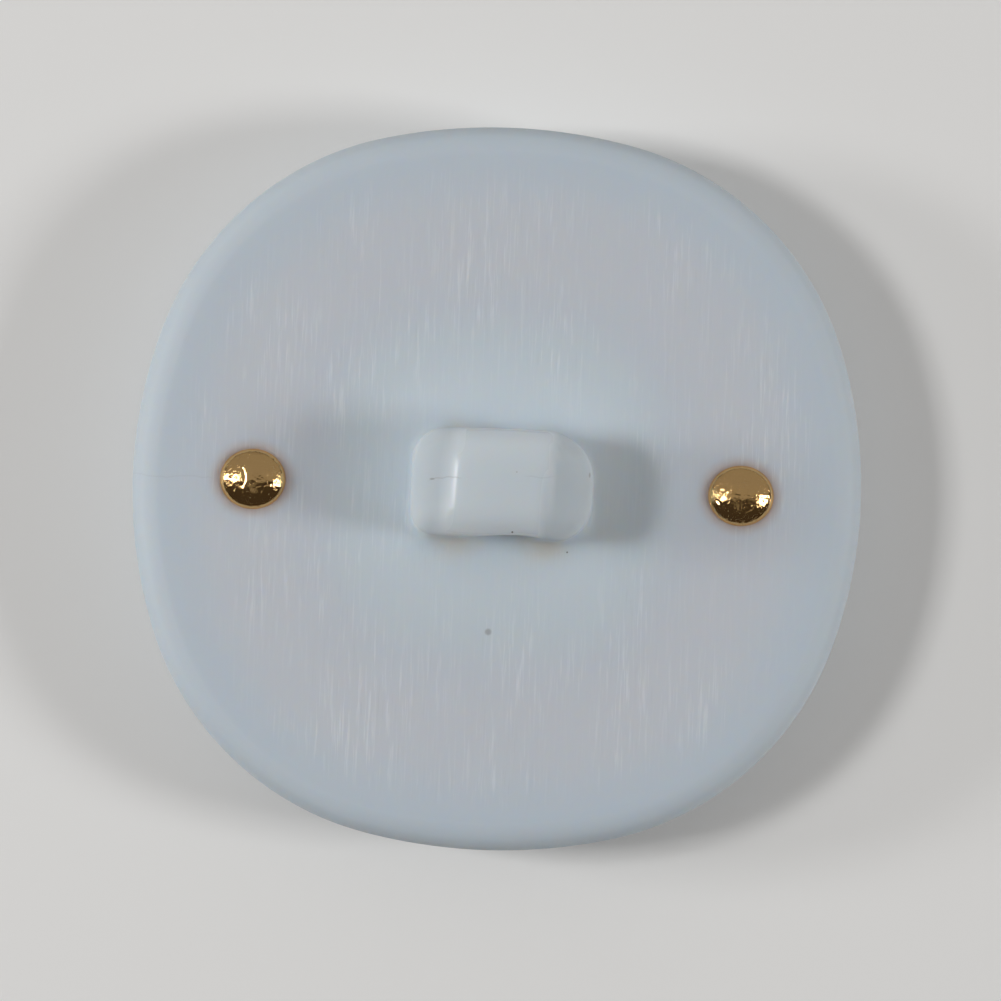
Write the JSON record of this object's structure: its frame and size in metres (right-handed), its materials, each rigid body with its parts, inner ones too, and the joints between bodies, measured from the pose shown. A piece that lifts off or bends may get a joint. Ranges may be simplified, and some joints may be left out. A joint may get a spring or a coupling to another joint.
{
  "type": "shank button",
  "caption": "Soft-square sew-on button: milky white body with an integral thread shank, and a gold ring on the front held by domed gold rivets.",
  "frame": {"origin": "middle of the front, on the plane that the ring's crest rests on", "axes": "+Z out of the back, along the shank; +X along the line of the two rivets; +Y along the thread eye"},
  "size_m": [0.028, 0.0278, 0.0083],
  "materials": {
    "milk_white_plastic": "milky, slightly translucent, satin with fine straight mould marks",
    "gold_plate": "bright gold plating with small dents and scratches"
  },
  "bodies": {
    "root": {"body": "milk_white_plastic", "front_ring": "gold_plate", "rivet_left": "gold_plate", "rivet_right": "gold_plate"}
  },
  "joints": []
}
